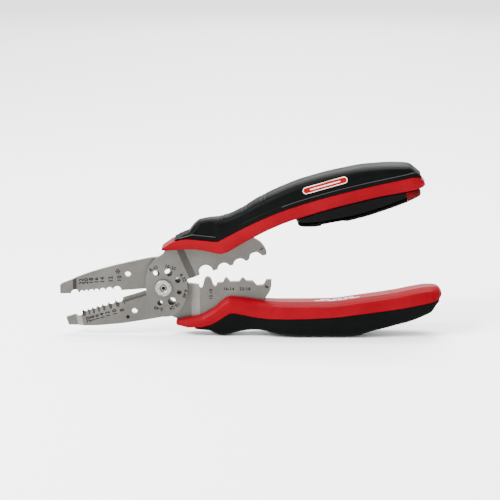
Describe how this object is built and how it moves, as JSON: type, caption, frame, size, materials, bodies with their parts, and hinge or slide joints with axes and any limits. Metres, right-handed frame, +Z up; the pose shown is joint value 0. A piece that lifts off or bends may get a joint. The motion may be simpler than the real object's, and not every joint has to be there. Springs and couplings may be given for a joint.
{
  "type": "wire stripper",
  "caption": "Two-lever wire stripper, crimper and bolt cutter with cushioned handles and a voltage sensor under the upper one.",
  "frame": {"origin": "middle of the box's base; the tool stands on the back of its lower handle as it lies open", "axes": "+X from the jaws to the handle ends, +Y through the thickness away from the nut side, +Z up across the handles"},
  "size_m": [0.2372, 0.026, 0.1083],
  "materials": {
    "tool_steel": "satin, ground",
    "bright_steel": "zinc plated, satin",
    "dark_steel": "blackened",
    "red_plastic": "semi-gloss, moulded",
    "black_rubber": "soft satin",
    "black_plastic": "gloss, moulded",
    "badge_red": "printed gloss",
    "lens_red": "tinted translucent gloss",
    "green_board": "lacquered glass-fibre board",
    "chip_black": "moulded",
    "copper_foil": "copper foil",
    "nickel_contact": "nickel plated spring strip",
    "cell_steel": "nickel plated can",
    "led_red": "clear tinted epoxy"
  },
  "bodies": {
    "lower_lever": {"rear_lever": "tool_steel", "lower_handle_core": "red_plastic", "lower_grip": "black_rubber", "pivot_bolt": "bright_steel", "pivot_washer": "dark_steel", "pivot_nut": "bright_steel"},
    "upper_lever": {"front_lever": "tool_steel", "upper_handle_core": "red_plastic", "upper_grip": "black_rubber", "handle_badge": "badge_red", "sensor_housing": "black_plastic", "circuit_cover": "black_plastic", "alert_lens": "lens_red", "circuit_board": "green_board", "detector_chip": "chip_black", "sense_strip": "copper_foil", "buzzer": "chip_black", "alert_led": "led_red", "battery_cell_1": "cell_steel", "battery_cell_2": "cell_steel", "battery_link": "nickel_contact", "battery_contact_front": "nickel_contact", "battery_contact_rear": "nickel_contact", "housing_screw_front": "bright_steel", "housing_screw_rear": "bright_steel"},
    "battery_door": {"battery_cover": "black_plastic"}
  },
  "joints": [
    {"name": "lever_pivot", "type": "hinge", "parent": "lower_lever", "child": "upper_lever", "pos_m": [-0.05395, 0, 0.0302], "axis": [0, 1, 0], "range_deg": [-10, 13.2]},
    {"name": "battery_cover_slide", "type": "slide", "parent": "upper_lever", "child": "battery_door", "axis": [-0.9724, 0, -0.2334], "range_m": [0, 0.012]}
  ]
}
